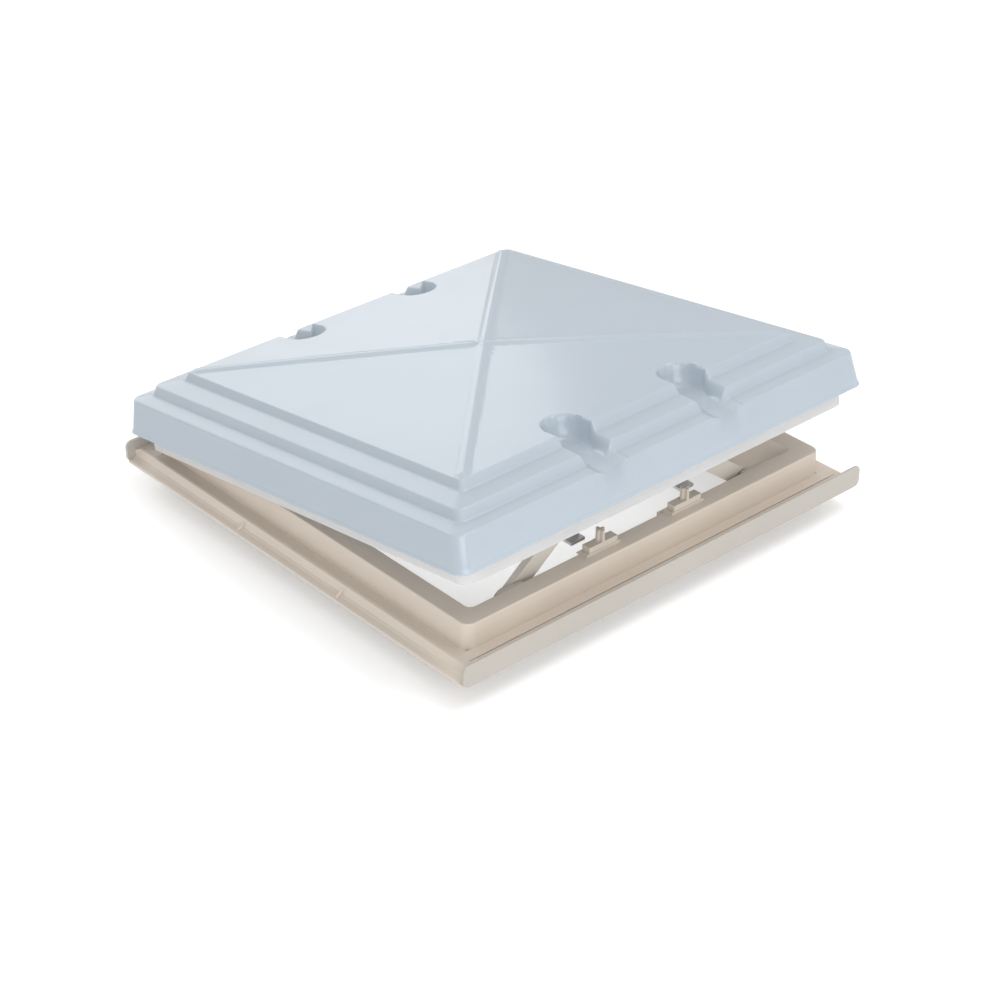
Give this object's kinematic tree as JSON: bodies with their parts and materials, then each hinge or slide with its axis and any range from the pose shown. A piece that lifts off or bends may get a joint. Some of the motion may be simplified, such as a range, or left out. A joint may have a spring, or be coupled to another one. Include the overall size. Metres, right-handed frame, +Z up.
{
  "type": "caravan rooflight",
  "caption": "Push-up roof vent: stepped dome on two lift rails with swinging struts, over a square collar frame with clip-on trim strips.",
  "frame": {"origin": "centre of the square opening, at the lower edge of the spigot", "axes": "+X along the front edge to the right, +Y from the front edge to the rear edge, +Z up and out of the roof"},
  "size_m": [0.48, 0.48, 0.1781],
  "materials": {
    "frame_plastic": "moulded beige-white, fine grain",
    "trim_plastic": "moulded beige-white, fine grain",
    "gasket_rubber": "soft closed-cell strip",
    "fitting_plastic": "glass-filled, slightly rough",
    "bolt_plastic": "smooth sliding grade",
    "bracket_plastic": "glass-filled, slightly rough",
    "strut_plastic": "glass-filled, slightly rough",
    "washer_plastic": "waxy bearing grade",
    "fastener_steel": "zinc plated",
    "rail_metal": "satin anodised",
    "dome_plastic": "glossy opaque white with a cool tint",
    "skin_plastic": "thin formed sheet, satin",
    "seal_rubber": "soft bulb seal"
  },
  "bodies": {
    "frame": {"roof_frame": "frame_plastic", "front_trim_strip": "trim_plastic", "rear_trim_strip": "trim_plastic", "flange_gasket": "gasket_rubber", "strut_bracket_front_right": "fitting_plastic", "strut_bracket_front_left": "fitting_plastic", "strut_bracket_rear_right": "fitting_plastic", "strut_bracket_rear_left": "fitting_plastic", "catch_block_front_right": "fitting_plastic", "catch_block_front_left": "fitting_plastic", "catch_block_rear_right": "fitting_plastic", "catch_block_rear_left": "fitting_plastic", "strut_bracket_screws": "fastener_steel", "catch_block_screws": "fastener_steel", "strut_pivot_pins": "fastener_steel", "friction_washers": "washer_plastic", "rear_rail": "rail_metal", "rear_hinge_pins": "fastener_steel", "strut_rear_right": "strut_plastic", "strut_rear_left": "strut_plastic", "strut_pin_rear_right": "fastener_steel", "strut_pin_rear_left": "fastener_steel"},
    "front_lift_bar": {"front_rail": "rail_metal", "front_hinge_pins": "fastener_steel"},
    "dome": {"outer_dome": "dome_plastic", "inner_skin": "skin_plastic", "seal_channel": "skin_plastic", "dome_seal": "seal_rubber", "dome_screws": "fastener_steel", "dome_bracket_front_right": "bracket_plastic", "dome_bracket_front_left": "bracket_plastic", "dome_bracket_rear_right": "bracket_plastic", "dome_bracket_rear_left": "bracket_plastic"},
    "strut_arm_front_right": {"strut_front_right": "strut_plastic", "strut_pin_front_right": "fastener_steel"},
    "strut_arm_front_left": {"strut_front_left": "strut_plastic", "strut_pin_front_left": "fastener_steel"},
    "latch_front_right": {"slide_bolt_front_right": "bolt_plastic"},
    "latch_front_left": {"slide_bolt_front_left": "bolt_plastic"},
    "latch_rear_right": {"slide_bolt_rear_right": "bolt_plastic"},
    "latch_rear_left": {"slide_bolt_rear_left": "bolt_plastic"}
  },
  "joints": [
    {"name": "front_lift", "type": "slide", "parent": "frame", "child": "front_lift_bar", "axis": [0, 0, 1], "range_m": [-0.0533, 0.003]},
    {"name": "dome_pitch", "type": "hinge", "parent": "front_lift_bar", "child": "dome", "pos_m": [0, -0.176, 0.11556], "axis": [1, 0, 0], "range_deg": [-0.7, 8.8], "deforming": ["dome_seal"]},
    {"name": "strut_swing_front_right", "type": "hinge", "parent": "frame", "child": "strut_arm_front_right", "pos_m": [0.147, -0.1845, 0.042], "axis": [0, 1, 0], "range_deg": [-37.6, 2.5]},
    {"name": "strut_swing_front_left", "type": "hinge", "parent": "frame", "child": "strut_arm_front_left", "pos_m": [-0.147, -0.1845, 0.042], "axis": [0, -1, 0], "range_deg": [-37.6, 2.5]},
    {"name": "latch_slide_front_right", "type": "slide", "parent": "frame", "child": "latch_front_right", "axis": [1, 0, 0], "range_m": [0, 0.014]},
    {"name": "latch_slide_front_left", "type": "slide", "parent": "frame", "child": "latch_front_left", "axis": [-1, 0, 0], "range_m": [0, 0.014]},
    {"name": "latch_slide_rear_right", "type": "slide", "parent": "frame", "child": "latch_rear_right", "axis": [1, 0, 0], "range_m": [-0.014, 0]},
    {"name": "latch_slide_rear_left", "type": "slide", "parent": "frame", "child": "latch_rear_left", "axis": [-1, 0, 0], "range_m": [-0.014, 0]}
  ],
  "couplings": [
    {"joint": "dome_pitch", "follows": "front_lift", "rad_per_m": -2.8194},
    {"joint": "strut_swing_front_right", "follows": "front_lift", "rad_per_m": 12.2},
    {"joint": "strut_swing_front_left", "follows": "front_lift", "rad_per_m": 12.2}
  ]
}
